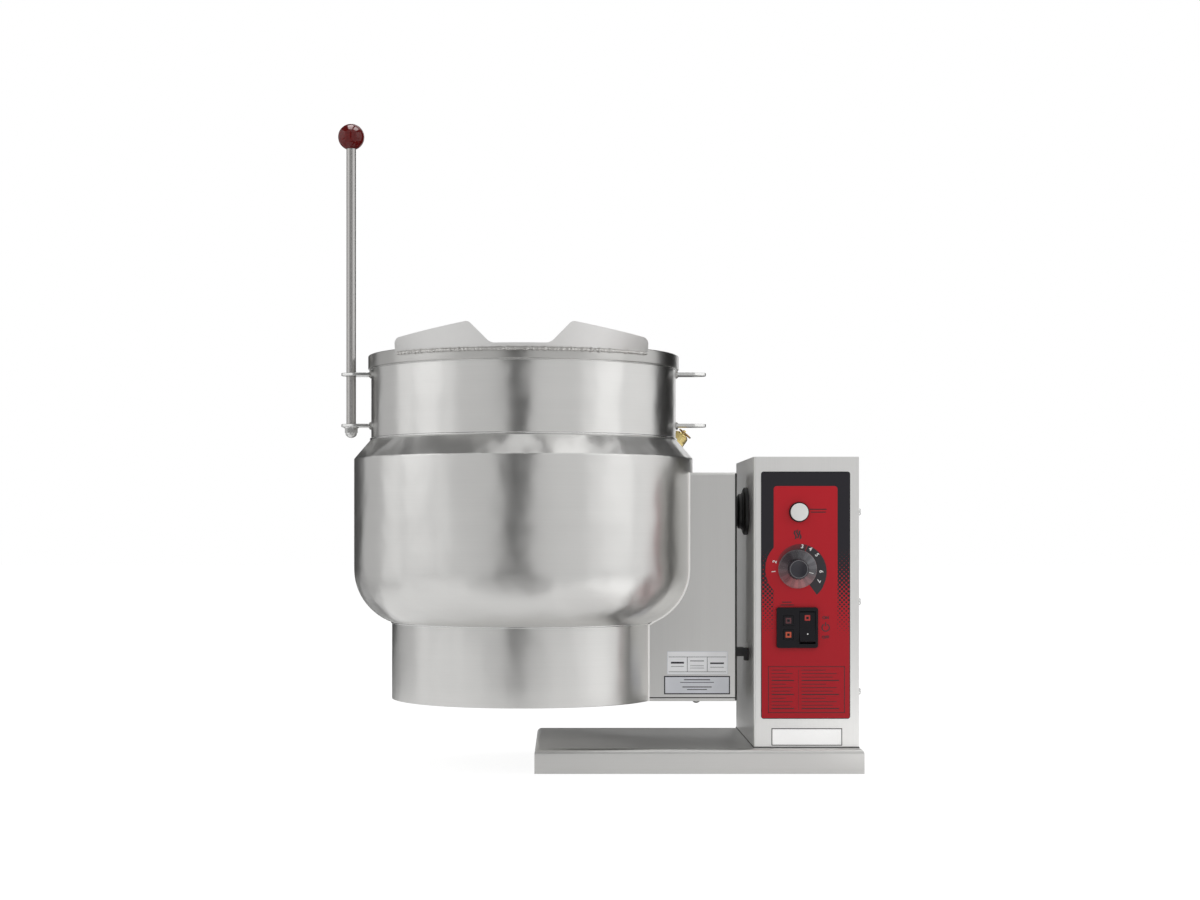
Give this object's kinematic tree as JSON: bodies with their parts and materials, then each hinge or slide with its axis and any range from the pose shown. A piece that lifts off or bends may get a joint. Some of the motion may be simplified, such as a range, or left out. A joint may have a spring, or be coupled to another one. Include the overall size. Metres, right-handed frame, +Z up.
{
  "type": "tilting steam-jacketed kettle",
  "caption": "Counter-top electric tilting kettle with a steam jacket, butterfly pouring lip, tilting handle and a control console on a flat base",
  "frame": {"origin": "centre of the base's underside, at the middle of its bolt-down holes", "axes": "+Z up, +X towards the console's outer side, -Y towards the front, where the controls and the pouring lip are"},
  "size_m": [0.6844, 0.45, 0.8524],
  "materials": {
    "brushed_stainless": "brushed, satin",
    "bright_steel": "bright",
    "plain_steel": "plain grey",
    "bearing_bronze": "plain",
    "valve_brass": "polished",
    "seal_rubber": "matt",
    "black_metal": "black",
    "red_overlay": "satin printed film",
    "white_plastic": "satin",
    "grey_plastic": "satin",
    "black_plastic": "satin",
    "lamp_dark": "clear lens, off",
    "lamp_lit": "clear lens, lit",
    "moulded_case": "moulded",
    "element_sheath": "oxidised",
    "maroon_phenolic": "glossy"
  },
  "bodies": {
    "stand": {"base_pan": "brushed_stainless", "mount_pads": "plain_steel", "console_housing": "brushed_stainless", "console_cover": "brushed_stainless", "cover_screws": "bright_steel", "sealing_strip": "seal_rubber", "bearing_frame": "plain_steel", "frame_bolts": "bright_steel", "bearing_left": "bearing_bronze", "bearing_right": "bearing_bronze", "trunnion_seal": "seal_rubber", "tilt_stop": "black_metal", "control_overlay": "red_overlay", "button_bezel": "grey_plastic", "thermostat": "grey_plastic", "switch_bezel": "black_plastic", "lamp_upper": "lamp_dark", "lamp_lower": "lamp_lit", "contactor": "moulded_case", "terminal_block": "black_plastic", "conduit_bush": "plain_steel"},
    "kettle": {"bowl": "brushed_stainless", "rim_bar": "brushed_stainless", "pouring_lip": "brushed_stainless", "jacket": "brushed_stainless", "pedestal_skirt": "brushed_stainless", "skirt_cover": "brushed_stainless", "skirt_screws": "bright_steel", "lug_left_upper": "brushed_stainless", "lug_left_lower": "brushed_stainless", "lug_right_upper": "brushed_stainless", "lug_right_lower": "brushed_stainless", "handle_rod": "brushed_stainless", "ball_knob": "maroon_phenolic", "acorn_nut": "bright_steel", "valve_inlet": "valve_brass", "valve_body": "valve_brass", "element_box": "brushed_stainless", "box_cover": "brushed_stainless", "box_screws": "bright_steel", "element_flange": "bearing_bronze", "element_upper": "element_sheath", "element_lower": "element_sheath", "trunnion_shaft": "plain_steel", "shaft_screws": "bright_steel", "shaft_collar": "plain_steel", "stop_pin": "black_metal"},
    "button": {"push_button": "white_plastic"},
    "dial": {"dial_knob": "black_plastic", "spindle": "bright_steel"},
    "rocker_key": {"rocker": "black_plastic"},
    "valve_ring": {"pull_ring": "valve_brass"}
  },
  "joints": [
    {"name": "kettle_tilt", "type": "hinge", "parent": "stand", "child": "kettle", "pos_m": [0.06, -0.0325, 0.336], "axis": [1, 0, 0], "range_deg": [0, 90]},
    {"name": "button_press", "type": "slide", "parent": "stand", "child": "button", "axis": [0, 1, 0], "range_m": [0, 0.003], "stiffness_N_per_m": 400},
    {"name": "dial_turn", "type": "hinge", "parent": "stand", "child": "dial", "pos_m": [0.12652, -0.1281, 0.261], "axis": [0, 1, 0], "range_deg": [0, 270]},
    {"name": "rocker_tip", "type": "hinge", "parent": "stand", "child": "rocker_key", "pos_m": [0.139, -0.1231, 0.186], "axis": [1, 0, 0], "range_deg": [0, 14]},
    {"name": "ring_swing", "type": "hinge", "parent": "kettle", "child": "valve_ring", "pos_m": [-0.00862, 0.06553, 0.44519], "axis": [0.7306, 0.2952, -0.6157], "range_deg": [-150, 0]}
  ]
}
